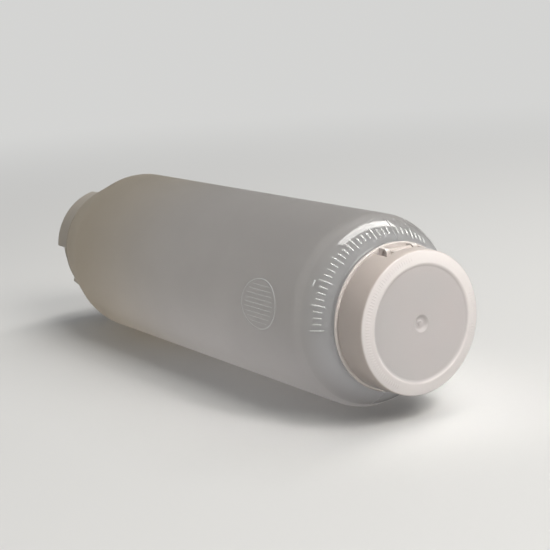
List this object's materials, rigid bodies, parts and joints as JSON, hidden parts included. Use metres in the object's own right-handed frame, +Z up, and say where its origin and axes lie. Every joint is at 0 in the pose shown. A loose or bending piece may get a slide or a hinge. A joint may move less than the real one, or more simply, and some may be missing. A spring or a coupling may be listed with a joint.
{
  "type": "dispensing sauce bottle with flip cap",
  "caption": "Round squeeze bottle lying on its side, with a hinged flip lid over a slit valve on a screw collar, and a notched refill cap.",
  "frame": {"origin": "middle of the line that the barrel rests on, at the centre of the bounding box's bottom face", "axes": "+X along the bottle's axis towards the dispensing end, +Z up, the lid's hinge at the top"},
  "size_m": [0.249, 0.073, 0.073],
  "materials": {
    "milky_bottle": "milky translucent blow-moulded polyethylene, softly glossy",
    "closure_white": "pinkish white moulded polypropylene, satin",
    "liner_white": "soft white foam liner",
    "valve_rubber": "cloudy clear silicone rubber",
    "retainer_white": "white moulded polypropylene"
  },
  "bodies": {
    "bottle": {"bottle_body": "milky_bottle", "front_neck": "milky_bottle", "back_neck": "milky_bottle"},
    "collar_lift": {"collar_gasket": "liner_white"},
    "collar": {"dispensing_collar": "closure_white", "slit_valve": "valve_rubber", "valve_retainer": "retainer_white"},
    "lid": {"flip_lid": "closure_white"},
    "cap_lift": {"refill_seal": "liner_white"},
    "cap": {"refill_cap": "closure_white"}
  },
  "joints": [
    {"name": "collar_rise", "type": "slide", "parent": "bottle", "child": "collar_lift", "axis": [1, 0, 0], "range_m": [0, 0.0043]},
    {"name": "collar_turn", "type": "hinge", "parent": "collar_lift", "child": "collar", "pos_m": [0.1074, 0, 0.0365], "axis": [1, 0, 0], "range_deg": [0, 360]},
    {"name": "lid_hinge", "type": "hinge", "parent": "collar", "child": "lid", "pos_m": [0.1127, 0, 0.0614], "axis": [0, -1, 0], "range_deg": [0, 115]},
    {"name": "cap_rise", "type": "slide", "parent": "bottle", "child": "cap_lift", "axis": [-1, 0, 0], "range_m": [0, 0.0043]},
    {"name": "cap_turn", "type": "hinge", "parent": "cap_lift", "child": "cap", "pos_m": [-0.109, 0, 0.0365], "axis": [-1, 0, 0], "range_deg": [0, 360]}
  ],
  "couplings": [
    {"joint": "collar_rise", "follows": "collar_turn", "m_per_rad": 0.00067322},
    {"joint": "cap_rise", "follows": "cap_turn", "m_per_rad": 0.00067322}
  ]
}
